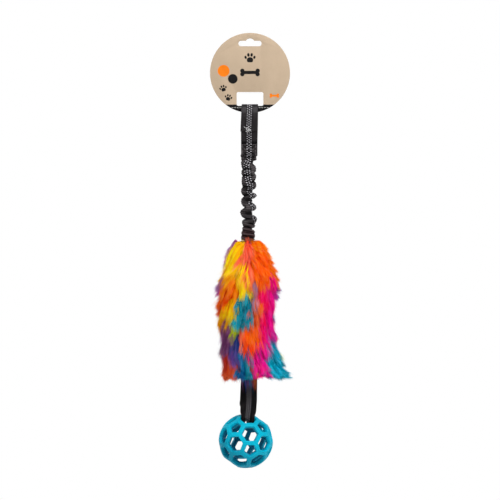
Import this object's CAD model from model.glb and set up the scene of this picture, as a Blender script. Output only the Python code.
from functools import reduce
from math import atan2, cos, pi, radians, sin, tan, tau

import bpy
import numpy as np
from mathutils import Euler, Matrix, Vector


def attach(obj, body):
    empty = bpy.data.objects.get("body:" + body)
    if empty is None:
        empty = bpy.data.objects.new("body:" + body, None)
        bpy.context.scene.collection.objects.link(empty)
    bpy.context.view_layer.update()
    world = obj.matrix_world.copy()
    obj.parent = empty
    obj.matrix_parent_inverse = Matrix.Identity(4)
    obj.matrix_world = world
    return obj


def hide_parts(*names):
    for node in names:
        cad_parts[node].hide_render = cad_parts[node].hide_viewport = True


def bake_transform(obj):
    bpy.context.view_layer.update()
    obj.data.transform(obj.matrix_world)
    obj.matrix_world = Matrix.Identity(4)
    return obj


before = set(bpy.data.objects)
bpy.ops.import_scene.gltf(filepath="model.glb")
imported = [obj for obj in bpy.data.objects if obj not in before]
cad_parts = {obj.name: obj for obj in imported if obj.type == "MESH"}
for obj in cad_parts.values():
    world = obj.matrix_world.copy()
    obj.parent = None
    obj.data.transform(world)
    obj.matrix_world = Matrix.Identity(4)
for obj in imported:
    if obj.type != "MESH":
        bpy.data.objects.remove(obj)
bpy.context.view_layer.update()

# Everything is in metres, in the frame of the CAD parts: +Z up, +X right, the front looks to -Y.
mm = 0.001
body = {  # where the parts of the toy start and end
    "headTop": -132.2 * mm,
    "hinge": -148.2 * mm,
    "pileTop": -252.7 * mm,
    "hem": -430.2 * mm,
    "handleSide": -1.2 * mm,
    "strapSide": -1.9 * mm,
    "ballCentre": (-5.2 * mm, 0, -503.2 * mm),
    "webbingWidth": 20.4 * mm,
    "webbingThick": 1.8 * mm,
    "frontLayer": 0.3 * mm,
    "backLayer": 2.4 * mm,
}


camera = {"distance": 3.2, "shownWidth": 0.625, "height": -0.2644, "sensor": 36, "sees": (0.1, 20)}


def addCamera():
    bpy.ops.object.camera_add(
        location=(0, -camera["distance"], camera["height"]), rotation=(pi / 2, 0, 0)
    )
    made = bpy.context.object
    made.data.sensor_width = camera["sensor"]
    made.data.lens = camera["sensor"] * camera["distance"] / camera["shownWidth"]
    made.data.clip_start, made.data.clip_end = camera["sees"]
    bpy.context.scene.camera = made


lamps = {  # name: place, size, watts
    "keyLamp": ((0.60, -1.25, 1.00), 0.8, 26.0),
    "fillLamp": ((-1.3, -1.1, 0.1), 1.0, 4.0),
    "topLamp": ((0.1, 0.1, 0.95), 0.8, 9.0),
}
aimedAt = Vector((0, 0, -0.30))


def addLamps():
    for name, (place, size, watts) in lamps.items():
        turn = (aimedAt - Vector(place)).to_track_quat("-Z", "Y").to_euler()
        bpy.ops.object.light_add(type="AREA", location=place, rotation=turn)
        lamp = bpy.context.object
        lamp.name, lamp.data.size, lamp.data.energy = name, size, watts


def sumOf(operation):
    return lambda self, other: self.nodes.math(operation, self, other)


class Flow:  # a socket's value, for shader sums that are written as in Python
    def __init__(self, nodes, socket):
        self.nodes, self.socket = nodes, socket

    __add__ = __radd__ = sumOf("ADD")
    __mul__ = __rmul__ = sumOf("MULTIPLY")
    __sub__ = sumOf("SUBTRACT")
    __truediv__ = sumOf("DIVIDE")

    def __rsub__(self, other):
        return self.nodes.math("SUBTRACT", other, self)

    def __abs__(self):
        return self.nodes.math("ABSOLUTE", self)


class Nodes:  # the nodes of a material or of the world
    def __init__(self, tree):
        self.tree = tree

    def feed(self, socket, value):
        if isinstance(value, Flow):
            self.tree.links.new(value.socket, socket)
        else:
            socket.default_value = value

    def node(self, kind, settings=None, inputs=None, output=0):
        made = self.tree.nodes.new("ShaderNode" + kind)
        for setting, value in (settings or {}).items():
            setattr(made, setting, value)
        for socket, value in (inputs or {}).items():
            self.feed(made.inputs[socket], value)
        return Flow(self, made.outputs[output])

    def math(self, operation, *values):
        return self.node("Math", {"operation": operation}, dict(enumerate(values)))

    def least(self, *values):
        return reduce(lambda a, b: self.math("MINIMUM", a, b), values)

    def most(self, *values):
        return reduce(lambda a, b: self.math("MAXIMUM", a, b), values)

    def far(self, *parts):  # the distance whose parts along the axes are given
        return self.math("SQRT", reduce(Flow.__add__, [part * part for part in parts]))

    def seenPlainly(self):  # 1 for what the camera, a mirror or clear stuff shows
        rays = ("Is Camera Ray", "Is Glossy Ray", "Is Transmission Ray")
        return self.most(*[self.node("LightPath", output=ray) for ray in rays])

    def showBoth(self, share, one, other, end):  # two shaders mixed into the end node
        both = self.node("MixShader", None, {0: share, 1: one, 2: other})
        self.feed(end.inputs["Surface"], both)


class Finish(Nodes):  # a material, its shader and the nodes that feed it
    def __init__(self, name, **fixed):
        self.material = bpy.data.materials.new(name)
        self.material.use_nodes = True
        super().__init__(self.material.node_tree)
        self.shader = self.tree.nodes["Principled BSDF"]
        self.into(**fixed)

    def places(self):  # object coordinates, in millimetres
        here = self.node("TexCoord", output="Object")
        return self.node("VectorMath", {"operation": "SCALE"}, {0: here, "Scale": 1000})

    def axes(self, vector):
        return [self.node("SeparateXYZ", None, {0: vector}, output=axis) for axis in range(3)]

    def attribute(self, name, output="Fac"):
        return self.node("Attribute", {"attribute_name": name}, output=output)

    def noise(self, vector, scale, detail=2.0, rough=0.5):
        return self.node("TexNoise", None, {
            "Vector": vector, "Scale": scale, "Detail": detail, "Roughness": rough})

    def stretched(self, vector, by):
        return self.node("VectorMath", {"operation": "MULTIPLY"}, {0: vector, 1: by})

    def step(self, value, low, high):  # 0 at low, 1 at high, smooth between
        return self.node(
            "MapRange", {"interpolation_type": "SMOOTHSTEP"},
            {"Value": value, "From Min": low, "From Max": high},
        )

    def mix(self, share, a, b, blend="MIX"):
        return self.node(
            "Mix", {"data_type": "RGBA", "blend_type": blend}, {0: share, 6: a, 7: b}, output=2
        )

    def bump(self, height, distance, strength=1.0):
        self.into(Normal=self.node(
            "Bump", None, {"Height": height, "Distance": distance, "Strength": strength}))

    def into(self, **sockets):
        for socket, value in sockets.items():
            self.feed(self.shader.inputs[socket.replace("_", " ")], value)
        return self.material


def colour(red, green, blue):  # a colour as a picture program shows it, 0 to 255
    parts = [c / 255 for c in (red, green, blue)]
    return (*[c / 12.92 if c < 0.04045 else ((c + 0.055) / 1.055) ** 2.4 for c in parts], 1)


def choose(piece):
    bpy.ops.object.select_all(action="DESELECT")
    bpy.context.view_layer.objects.active = piece
    piece.select_set(True)


def startEdit(piece):
    choose(piece)
    bpy.ops.object.mode_set(mode="EDIT")
    bpy.ops.mesh.select_all(action="SELECT")


def named(name):  # names the object that was added last, and gives it
    piece = bpy.context.object
    piece.name = piece.data.name = name
    return piece


def pointsOf(piece):
    flat = np.empty(len(piece.data.vertices) * 3)
    piece.data.vertices.foreach_get("co", flat)
    return flat.reshape(-1, 3)


def movePoints(piece, points):
    piece.data.vertices.foreach_set("co", np.asarray(points, float).ravel())
    piece.data.update()


def keepColours(piece, name, colours):
    layer = piece.data.color_attributes.new(name, "FLOAT_COLOR", "POINT")
    four = np.ones((len(colours), 4), np.float32)
    four[:, :3] = colours
    layer.data.foreach_set("color", four.ravel())


def startGrid(name, across, along):  # a flat grid, and each point's shares across and along it
    bpy.ops.mesh.primitive_grid_add(x_subdivisions=across, y_subdivisions=along, size=1)
    piece = named(name)
    flat = pointsOf(piece)
    return piece, flat[:, 0] + 0.5, flat[:, 1] + 0.5


def shapeUp(piece, points, fill=True, **numbers):
    # Moves the points, keeps numbers at them for the material to read, joins the edges that now
    # meet, caps the ends and turns the faces out.
    movePoints(piece, points)
    for name, values in numbers.items():
        layer = piece.data.attributes.new(name, "FLOAT", "POINT")
        layer.data.foreach_set("value", np.asarray(values, np.float32))
    startEdit(piece)
    bpy.ops.mesh.remove_doubles(threshold=0.001 * mm)
    if fill:
        bpy.ops.mesh.fill_holes(sides=0)
        bpy.ops.mesh.select_all(action="SELECT")
    bpy.ops.mesh.normals_make_consistent(inside=False)
    bpy.ops.object.mode_set(mode="OBJECT")
    bpy.ops.object.shade_smooth()


def modify(piece, kind, **settings):
    made = piece.modifiers.new(kind.title(), kind)
    for setting, value in settings.items():
        setattr(made, setting, value)


def bevelEdges(piece, width, angle):
    modify(
        piece, "BEVEL", width=width, segments=2, limit_method="ANGLE", angle_limit=radians(angle)
    )


def applyAll(piece):
    choose(piece)
    for modifier in list(piece.modifiers):
        bpy.ops.object.modifier_apply(modifier=modifier.name)


def settle(piece):  # the place goes into the mesh, and the object to the origin
    choose(piece)
    bpy.ops.object.transform_apply(location=True, rotation=True, scale=True)


def wear(piece, material):
    piece.data.materials.clear()
    piece.data.materials.append(material)


def smooth(x):
    x = np.clip(x, 0, 1)
    return x * x * (3 - 2 * x)


def squarer(c, power):  # a cosine or sine, drawn out towards a squarer outline
    return np.sign(c) * np.abs(c) ** power


def tube(middle, radius, turn, z):
    return np.stack([middle + radius * np.cos(turn), radius * np.sin(turn), z], -1)


def ripple(seed, *places):  # soft random waves over any coordinates, about -1 to 1
    rng = np.random.default_rng(seed)
    total = 0
    for _ in range(6):
        pull = rng.normal(0, 1, len(places))
        total = total + np.sin(sum(f * p for f, p in zip(pull, places)) + rng.uniform(0, tau))
    return total / 3


def roundedPath(corners):  # corners are (y, z, bend radius); gives closely spaced points
    points = [Vector(corners[0][:2])]
    for before, corner, after in zip(corners, corners[1:], corners[2:]):
        here, radius = Vector(corner[:2]), corner[2]
        back = (Vector(before[:2]) - here).normalized()
        on = (Vector(after[:2]) - here).normalized()
        half = back.angle(on) / 2
        centre = here + (back + on).normalized() * radius / sin(half)
        first = here + back * radius / tan(half) - centre
        last = here + on * radius / tan(half) - centre
        start = atan2(first.y, first.x)
        sweep = (atan2(last.y, last.x) - start + pi) % tau - pi
        for i in range(25):
            turn = start + sweep * i / 24
            points.append(centre + radius * Vector((cos(turn), sin(turn))))
    points.append(Vector(corners[-1][:2]))
    return np.array([tuple(p) for p in points])


class Route:  # a path in the YZ plane, asked for by distance
    def __init__(self, points):
        steps = np.linalg.norm(np.diff(points, axis=0), axis=1)
        self.at = np.concatenate(([0], np.cumsum(steps)))
        self.points, self.length = points, self.at[-1]

    def place(self, far):
        return np.stack([np.interp(far, self.at, self.points[:, k]) for k in (0, 1)], 1)

    def normal(self, far, reach=0.4 * mm):
        ahead = self.place(far + reach) - self.place(far - reach)
        ahead /= np.maximum(np.linalg.norm(ahead, axis=1), 1e-12)[:, None]
        return np.stack([-ahead[:, 1], ahead[:, 0]], 1)


webbing = {
    "ribs": 26,
    "ribDepth": 0.10 * mm,
    "samplesPerRib": 3,
    "edgeSteps": 8,
    "rowStep": 0.8 * mm,
    "wobble": 0.12 * mm,
    "ribGap": 18.6 / 26,  # from here on in mm, for the material
    "pickGap": 0.62,
    "columnGap": 2.35,
    "dotGap": 2.95,
    "tracerEdge": (4.4, 3.0),
}


def acrossWebbing(u):
    # A share round the webbing's outline becomes a share of its width, and how far out it is.
    face = webbing["ribs"] * webbing["samplesPerRib"]
    total = 2 * (face + webbing["edgeSteps"])
    at = u * total
    half = body["webbingWidth"] / 2
    thick = body["webbingThick"] / 2
    flat = half - thick
    onBack = at > face + webbing["edgeSteps"]
    at = np.where(onBack, at - face - webbing["edgeSteps"], at)
    onEdge = at > face
    turn = pi * (at - face) / webbing["edgeSteps"]
    rib = 1 - webbing["ribDepth"] / thick * np.abs(np.sin(pi * webbing["ribs"] * at / face))
    rib = np.where(onEdge, 1, rib)
    inFace = -flat + 2 * flat * np.minimum(at / face, 1)
    wide = np.where(onEdge, flat + thick * np.sin(turn), inFace)
    out = np.where(onEdge, thick * np.cos(turn), thick * rib)
    sign = np.where(onBack, -1, 1)
    return wide * sign, out * sign


def ribbon(name, rows, carry):
    # carry(wide, out, v) puts each point of the flat webbing in its place, and says how far along
    # the webbing it is.
    around = 2 * (webbing["ribs"] * webbing["samplesPerRib"] + webbing["edgeSteps"])
    piece, u, v = startGrid(name, around, rows)
    wide, out = acrossWebbing(u)
    points, along = carry(wide, out, v)
    shapeUp(piece, points, across=wide / mm, along=along / mm)
    return piece


def webbingFinish(name, ground, ridge, tones=(), folded=False, dot=0.70):
    # tones are bands of another tone: height and half height in mm, colour, strength.
    finish = Finish(name, Specular_IOR_Level=0.08)
    across, along = finish.attribute("across"), finish.attribute("along")
    where = finish.places()
    z = finish.axes(where)[2]
    side = across / webbing["columnGap"]
    column = finish.math("ROUND", finish.least(finish.most(side, -1.0), 1.0))
    count = along / webbing["dotGap"] + (1 - abs(column)) * 0.5
    aside = abs(across - column * webbing["columnGap"])
    down = abs(finish.math("FRACT", count) - 0.5) * webbing["dotGap"]
    dots = finish.step(aside, dot, dot * 0.7) * finish.step(down, dot, dot * 0.7)
    pick = finish.node("CombineXYZ", None, {0: column, 1: finish.math("FLOOR", count)})
    bright = finish.node("TexWhiteNoise", {"noise_dimensions": "2D"}, {"Vector": pick})
    dots = dots * (0.7 + bright * 0.3)
    ribs = finish.math("SINE", across * (tau / webbing["ribGap"])) * 0.5 + 0.5
    picks = finish.math("SINE", along * (tau / webbing["pickGap"]) + across * 1.3) * 0.5 + 0.5
    weave = ribs * 0.55 + picks * 0.45
    fuzz = finish.noise(finish.stretched(where, (1.0, 1.0, 0.35)), 1.6, 4)
    shade = finish.mix(weave * 0.6 + fuzz * 0.4, ground, ridge)
    worn = finish.noise(finish.stretched(where, (1.0, 1.0, 0.4)), 0.22, 3)
    shade = finish.mix(finish.step(worn, 0.48, 0.78) * 0.35, shade, colour(72, 66, 68))
    for height, half, tone, strength in tones:
        near = finish.step(abs(z - height), half, half * 0.3)
        shade = finish.mix(near * strength, shade, tone)
    if folded:
        fold = finish.attribute("fold")
        shade = finish.mix(finish.step(fold, 0.84, 1.0) * 0.5, shade, colour(108, 102, 104))
        shade = finish.mix(finish.step(fold, 0.78, 0.30) * 0.92, shade, colour(4, 3, 3))
        dots = dots * finish.step(fold, 0.25, 0.6)
    band = finish.step(abs(across), *webbing["tracerEdge"])
    shade = finish.mix(band * 0.85, shade, colour(13, 11, 14))
    thread = finish.mix(fuzz, colour(186, 183, 190), colour(220, 218, 223))
    shade = finish.mix(dots, shade, thread)
    finish.bump(weave + dots * 0.9 + fuzz * 0.5, 0.12 * mm, 0.8)
    return finish.into(Base_Color=shade, Roughness=0.70 + weave * 0.2)


handle = {
    "corners": (  # y, z and bend radius down the inner end, round the fold, up, over the band, down
        (-5.4, -103.4, 0), (0.3, -131.9, 12), (0.3, -146.2, 1.03), (2.4, -146.2, 1.03),
        (2.4, -131.9, 12), (8.4, -98.9, 12), (6.4, -83.0, 6.27), (-6.4, -83.0, 6.27),
        (-8.4, -98.9, 12), (-4.96, -116.1, 0),
    ),
    "ragged": 0.45 * mm,
    "pressed": 2 * mm,
    "lean": (0.1, 0.1, 1.3, -0.55),  # mm to the side at the ends, the sewn part and the loop's top
}


def makeHandle():
    route = Route(roundedPath(handle["corners"]) * mm)

    def carry(wide, out, v):
        far = v * route.length
        spot, normal = route.place(far), route.normal(far)
        end = smooth((far - route.length + handle["pressed"]) / handle["pressed"])
        thin = 1 - 0.25 * end  # the cut end is pressed thin by its stitches
        spot = spot + normal * (-out * thin)[:, None]
        ragged = handle["ragged"] * end * ripple(3, wide / mm * 1.7)
        top = route.at[np.argmax(route.points[:, 1])]
        lean = np.interp(far, (0, 0.3 * top, top, route.length), handle["lean"]) * mm
        lean = lean + webbing["wobble"] * ripple(5, far / mm * 0.12)
        x = body["handleSide"] + wide + lean
        return np.stack([x, spot[:, 0], spot[:, 1] + ragged], 1), far

    piece = ribbon("handleWebbing", round(route.length / webbing["rowStep"]), carry)
    wear(piece, webbingFinish("handle webbing", colour(20, 18, 19), colour(52, 49, 51), (
        (-85.4, 2.2, colour(4, 3, 4), 0.9), (-89, 6, colour(96, 94, 96), 0.35),
        (-131.6, 4.6, colour(4, 3, 4), 0.85),
    )))
    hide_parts("handle_strap")
    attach(piece, "handle")
    print("handle webbing:", len(piece.data.polygons), "faces")


strap = {
    "reach": (-10.0 * mm, 1.2 * mm),  # how far the two layers go under the ball's topmost strut
    "strutUnder": 28.0 * mm,
    "strutLean": radians(6.5),
    "below": 1.75 * mm,
    "bends": (30, 3),
    "partHeight": -412.2 * mm,
    "topHeight": -253.7 * mm,
    "shownFrom": -405 * mm,
    "rows": 300,
    "squeeze": (-474.0 * mm, -469.2 * mm),  # where the front and the back layer are rolled up
    "curlReach": (9 * mm, 18 * mm),
    "curl": (radians(70), radians(154)),
    "turn": radians(10.5),
    # z and x of its middle, in mm
    "path": ((-405, -430, -452, -464, -470, -480), (-1.6, -1.25, -2.2, -3.6, -4.8, -5.2)),
}


def sideAt(z):
    share = np.clip((body["hinge"] - z) / (body["hinge"] - body["hem"]), 0, 1)
    return body["handleSide"] + (body["strapSide"] - body["handleSide"]) * share


def makeStrap():
    low = body["ballCentre"][2] + strap["strutUnder"] * cos(strap["strutLean"]) - strap["below"]
    heights = (strap["topHeight"], strap["partHeight"], low)
    sides = (body["frontLayer"], *strap["reach"], body["backLayer"])
    (top, part, low), (front, nearest, furthest, back) = (
        [number / mm for number in numbers] for numbers in (heights, sides)
    )
    wideBend, tightBend = strap["bends"]
    route = Route(roundedPath((
        (front, top, 0), (front, part, wideBend), (nearest, low, tightBend),
        (furthest, low, tightBend), (back, part, wideBend), (back, top, 0),
    )) * mm)
    # Rows lie close together where the strap shows, and further apart inside the pile.
    hidden = (strap["topHeight"] - strap["shownFrom"]) / route.length
    knots = np.cumsum([0, 0.1, 0.8, 0.1])
    spread = np.array([0, hidden, 1 - hidden, 1])

    def carry(wide, out, v):
        far = np.interp(v, knots, spread) * route.length
        spot, normal = route.place(far), route.normal(far)
        rear = np.clip((spot[:, 0] / mm - nearest) / (furthest - nearest), 0, 1)
        squeeze, curlReach, curl = (
            a + (b - a) * rear for a, b in (strap["squeeze"], strap["curlReach"], strap["curl"])
        )
        curl = np.maximum(smooth(1 - (spot[:, 1] - squeeze) / curlReach) * curl, 1e-4)
        bend = 2 * curl * wide / body["webbingWidth"]
        radius = body["webbingWidth"] / (2 * curl)
        sideways = (radius + out) * np.sin(bend)
        away = radius * (1 - np.cos(bend)) - out * np.cos(bend)
        backward = spot[:, 0] - normal[:, 0] * away
        z = spot[:, 1] - normal[:, 1] * away
        fall = smooth((strap["partHeight"] - z) / (strap["partHeight"] - strap["squeeze"][1]))
        turn = strap["turn"] * fall
        pathHeights, pathSides = strap["path"]
        middle = np.interp(-z / mm, -np.array(pathHeights), pathSides) * mm
        return np.stack([
            middle + sideways * np.cos(turn) - backward * np.sin(turn),
            sideways * np.sin(turn) + backward * np.cos(turn), z,
        ], 1), far

    piece = ribbon("ballStrap", strap["rows"], carry)
    wear(piece, webbingFinish("strap webbing", colour(6, 5, 6), colour(20, 18, 20), dot=0.56))
    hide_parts("lower_strap")
    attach(piece, "tug_body")
    print("ball strap:", len(piece.data.polygons), "faces")


cover = {
    "length": 104.5 * mm,
    "rows": 520,
    "columns": 120,
    "round": 41,  # mm of webbing round the cover
    "start": (7.0 * mm, 2.1 * mm),
    "startDown": 0.8 * mm,
    "padDepth": 1.2 * mm,
    "padMiddle": -2.1 * mm,
    "flatter": 0.90,
    # degrees round the cover at which the tracer lies, from the right by the back, down the cover
    "tracerDown": (0, 4, 10, 18, 26, 37, 43, 48, 57, 62, 76, 88, 105),
    "tracer": (268, 265, 246, 256, 262, 285, 275, 308, 290, 318, 325, 385, 440),
}
# The cover's creases, in mm down from the hinge and out from the elastic: where the crease meets
# its side and how far out the cloth is there, where the lobe below stands out most and how far,
# how many degrees round the cover the crease reaches, and how much lower it is there.
creases = {
    "right": (
        (-6, 8.9, 0, 8.9, 10, 0), (6.2, 3.9, 14.3, 9.1, 95, -2), (19.3, 6.2, 23.3, 8.8, 45, 0),
        (29.1, 5.4, 34.3, 9.1, 110, 2), (42.7, 3.9, 47, 9.6, 168, -2.6),
        (53.9, 2.8, 62.3, 9.1, 168, -1), (68.8, 2.9, 76.4, 10.2, 165, 0.4),
        (83.7, 6.4, 85.8, 7.2, 120, -1), (89.2, 3.8, 92.6, 7.5, 165, -2.6),
        (95.3, 6.2, 97.8, 7.6, 165, -2.4), (100.9, 5.7, 104.6, 7.6, 165, -2.4),
        (110, 5.7, 114, 7.6, 10, 0),
    ),
    "left": (
        (-6, 10, 7.4, 10.0, 10, 0), (14.3, 7.4, 18.9, 9.5, 125, 0.8),
        (22.7, 7.3, 28, 9.4, 150, -0.4), (36.7, 7.2, 41.3, 10, 120, 0),
        (48.9, 4.7, 53.7, 10, 120, -2.6), (62.3, 4.0, 68.7, 11.2, 70, 0),
        (76.5, 4.7, 80.8, 8.7, 135, 0.6), (85.8, 6.5, 88.7, 8.5, 140, 2.2),
        (90.5, 7.4, 93.7, 9.8, 160, 2.4), (96.8, 8.2, 100.5, 10.1, 160, 2.4),
        (104.3, 8, 108, 10, 10, 0),
    ),
}


def coverPoint(turn, down):
    # The tube bulges into lobes that meet in sharp creases, and each crease fades round the tube.
    far = down * cover["length"] / mm
    c, s = np.cos(turn), np.sin(turn)
    drift = 0.5 * ripple(12, 1.5 * c, 1.5 * s, far * 0.3)
    drop, outline, dark = 0, 0, 0
    for name, side in (("right", 1), ("left", -1)):
        table = np.array(creases[name])
        reach = np.arccos(np.clip(c * side, -1, 1))
        lobes = np.interp(far, table[:, 2], table[:, 3])
        outline = outline + (0.5 + 0.5 * c * side) * lobes
        for above, (at, out, peak, _, wide, lower) in zip(table, table[1:]):
            share = np.minimum(reach / radians(wide), 1)
            apart = far - at - lower * share - drift * np.sqrt(1 - c * c)
            near = np.where(apart < 0, -apart / (at - above[2]), apart / (peak - at))
            near = 1 - np.minimum(near, 1)
            deep = 1 - out / np.interp(at, table[:, 2], table[:, 3])
            deep = deep + (0.42 - deep) * smooth(share * 2.5)
            # Deep creases on the right stand open, so that the lobes are like beads.
            bead = 1 - (0.25 + 0.11 * side) * np.clip((5.2 - out) / 1.5, 0, 1)
            lobe = 1 - np.sqrt(1 - np.minimum(near / bead, 1) ** 2)
            drop = np.maximum(drop, deep * (1 - share) ** 0.4 * lobe)
            dark = np.maximum(dark, near ** 3 * smooth((1 - share) * 2.5))
    pleat = np.sin(far * 2.3 + 1.5 * np.sin(2 * turn + 1.3) + 2.5 * ripple(7, c, s, far * 0.2))
    radius = outline * (1 - drop) + 0.20 * pleat + 0.20 * ripple(9, 2 * c, 2 * s, far * 0.5)
    return radius * mm, 0.95 - 0.9 * dark + 0.07 * pleat


def laidOut(u, v, radius):
    # How far down the cloth each point lies, measured along its folds.
    columns, rows = cover["columns"], cover["rows"]
    i, j = np.rint(u * columns).astype(int), np.rint(v * rows).astype(int)
    grid = np.zeros((columns + 1, rows + 1))
    grid[i, j] = radius
    step = np.hypot(np.diff(grid, axis=1), cover["length"] / rows)
    return np.concatenate([np.zeros((columns + 1, 1)), np.cumsum(step, axis=1)], axis=1)[i, j]


def makeCover():
    piece, u, v = startGrid("gatheredCover", cover["columns"], cover["rows"])
    turn, z = tau * u, v * cover["length"]
    radius, fold = coverPoint(turn, v)
    wide, deep = cover["start"]
    flat = smooth(1 - z / (6 * mm))  # its start lies flat in the sewn head
    shut = 0.35 + 0.65 * smooth((1 - v) * 60)
    x = (radius * (1 - flat) + flat * wide) * np.cos(turn) * shut
    y = (radius * cover["flatter"] * (1 - flat) + flat * deep) * np.sin(turn) * shut
    z0 = body["hinge"] - cover["startDown"]
    tracer = np.interp(z / mm, cover["tracerDown"], cover["tracer"])
    aside = (np.degrees(turn) - tracer + 180) % 360 - 180
    shapeUp(
        piece, np.stack([body["handleSide"] + x, y, z0 - z], 1),
        across=aside * cover["round"] / 360, along=laidOut(u, v, radius) / mm, fold=fold,
    )
    wear(piece, gatheredFinish)
    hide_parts("bungee_sleeve")
    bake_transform(piece)
    print("gathered cover:", len(piece.data.polygons), "faces")


head = {
    "length": 21.8 * mm,
    "halfWidth": 9.6 * mm,
    "middle": -1.45 * mm,
    "rows": 140,
    "columns": 160,
    "box": (-8.0, -134.4, 5.5, -146.3),  # left, top, right and bottom of the box stitch, in mm
    "puff": 1.5 * mm,
    "freeDepth": 5.2 * mm,
    "bulge": (0.9 * mm, -146.8, 1.5),  # on the left: how far out, its height and reach in mm
}
# Creases in the head's front: from x, z to x, z in mm, half width, depth as a share.
headCreases = (
    (-8.0, -134.4, 5.5, -146.3, 0.9, 0.8), (5.5, -134.4, -8.0, -146.3, 0.9, 0.8),
    (-8.0, -134.4, 5.5, -134.4, 0.7, 0.4), (-8.0, -146.3, 5.5, -146.3, 0.8, 0.5),
    (-8.0, -134.4, -8.0, -146.3, 0.7, 0.4), (5.5, -134.4, 5.5, -146.3, 0.7, 0.4),
    (-6.2, -143.4, -5.6, -145.6, 1.2, 0.9), (2.2, -143.6, 4.8, -145.2, 1.2, 0.9),
    (-7.0, -148.8, 2.0, -148.4, 1.0, 0.8), (2.2, -148.5, 4.6, -148.5, 1.5, 1.0),
    (1.0, -151.8, 4.8, -152.2, 1.5, 1.0), (-11.0, -148.4, -6.0, -146.0, 0.9, 0.6),
    (-9.6, -138.0, -6.6, -140.6, 0.6, 0.4), (7.4, -138.2, 4.0, -140.4, 0.6, 0.4),
    (-8.6, -152.4, -2.0, -151.0, 1.0, 0.6),
)


def creased(x, z, lines):  # 0 on smooth cloth, up to 1 in a crease; x and z in mm
    made = 0
    for x0, z0, x1, z1, half, deep in lines:
        dx, dz = x1 - x0, z1 - z0
        share = np.clip(((x - x0) * dx + (z - z0) * dz) / (dx * dx + dz * dz), 0, 1)
        far = np.hypot(x - x0 - share * dx, z - z0 - share * dz)
        made = np.maximum(made, deep * np.clip(1 - far / half / 1.7, 0, 1))
    return made


def makeHead():
    piece, u, v = startGrid("sewnHead", head["columns"], head["rows"])
    c, s = np.cos(tau * u), np.sin(tau * u)
    z = body["headTop"] - v * head["length"]
    height = z / mm
    free = smooth(((body["hinge"] - z) / mm + 2.5) / 6.0)  # 0 where it is sewn down
    depth = cover["padDepth"] * (1 - free) + head["freeDepth"] * free
    middle = cover["padMiddle"] * (1 - free)
    bulge, bulgeHeight, bulgeReach = head["bulge"]
    bulge = bulge * np.exp(-((height - bulgeHeight) / bulgeReach) ** 2) * (c < 0)
    width = head["halfWidth"] * (1 + 0.012 * np.sin(height * 0.9)) + bulge
    square = 1 - 0.72 * (1 - free)  # a flattened outline where it is sewn down
    x = width * squarer(c, square)
    y = middle + depth * squarer(s, np.maximum(square, 0.45))
    inFront = smooth(-s * 2.5)
    crease = creased((head["middle"] + x) / mm, height, headCreases) * inFront
    waves = 1.5 * np.sin(c * 3) + 2 * ripple(21, 1.5 * c, 1.5 * s, height * 0.3)
    pleat = np.sin(height * 1.25 + waves)
    lift = head["puff"] * (0.45 * (1 - free) - crease) * inFront + 0.25 * mm * free * pleat
    tuck = smooth((1 - v) * 9)
    least = np.where(c > 0, 0.50, 0.86)
    x = head["middle"] + x * (least + (1 - least) * tuck)
    y = (y + lift * s) * (0.72 + 0.28 * tuck)
    y = middle + (y - middle) * (0.35 + 0.65 * smooth(v * 26))
    shapeUp(
        piece, np.stack([x, y, z], 1),
        across=(x - body["handleSide"]) / mm + np.where(s > 0, 14, 0),
        along=v * head["length"] / mm + 1.2, fold=0.93 - crease + 0.05 * pleat,
    )
    wear(piece, gatheredFinish)
    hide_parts("sleeve_head")
    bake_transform(piece)
    print("sewn head:", len(piece.data.polygons), "faces")


tail = {"length": 15.7, "halfWidth": 10.2 * mm, "below": 0.3 * mm, "sewnIn": 0.25 * mm}


def makeTail():
    piece, u, v = startGrid("sewnTail", 48, 40)
    c, s = np.cos(tau * u), np.sin(tau * u)
    z = body["pileTop"] - tail["below"] - v * tail["length"] * mm
    x = tail["halfWidth"] * squarer(c, 0.3)
    cross = np.minimum(np.abs(c) * 1.2, np.abs(np.sin(tau * v)))
    depth = cover["padDepth"] - tail["sewnIn"] * cross
    shapeUp(
        piece, np.stack([sideAt(z) + x, cover["padMiddle"] + depth * squarer(s, 0.45), z], 1),
        across=x / mm, along=v * tail["length"], fold=0.9 + 0 * v,
    )
    wear(piece, gatheredFinish)
    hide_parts("sleeve_tail")
    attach(piece, "tug_body")


elastic = {"radius": 2.3 * mm, "braid": 0.03, "plaits": 160, "below": 4 * mm, "shorter": 5 * mm}


def makeElastic():
    piece, u, v = startGrid("elasticCore", 24, 160)
    turn, plait = tau * u, v * elastic["plaits"]
    braid = 1 + elastic["braid"] * (np.sin(3 * turn + plait) + np.sin(-3 * turn + plait))
    z = body["hinge"] - elastic["below"] - v * (cover["length"] - elastic["shorter"])
    shapeUp(piece, tube(body["handleSide"], elastic["radius"] * braid, turn, z))
    finish = Finish("elastic braid", Roughness=0.7)
    strands = finish.node("TexWave", {"bands_direction": "DIAGONAL"}, {
        "Vector": finish.places(), "Scale": 0.9, "Distortion": 0.6})
    finish.bump(strands, 0.15 * mm)
    wear(piece, finish.into(Base_Color=finish.mix(
        strands, colour(150, 150, 152), colour(205, 205, 206))))
    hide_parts("elastic_cord")
    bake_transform(piece)


def meshPiece(name, points, faces):
    data = bpy.data.meshes.new(name)
    data.from_pydata(points.tolist(), [], faces)
    data.validate()
    made = bpy.data.objects.new(name, data)
    bpy.context.scene.collection.objects.link(made)
    choose(made)
    bpy.ops.object.shade_smooth()
    return made


thread = {
    "radius": 0.24 * mm,
    "length": 2.1 * mm,
    "gap": 0.5 * mm,
    "arch": 0.12 * mm,
    "sunk": 0.35 * mm,
}


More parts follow.
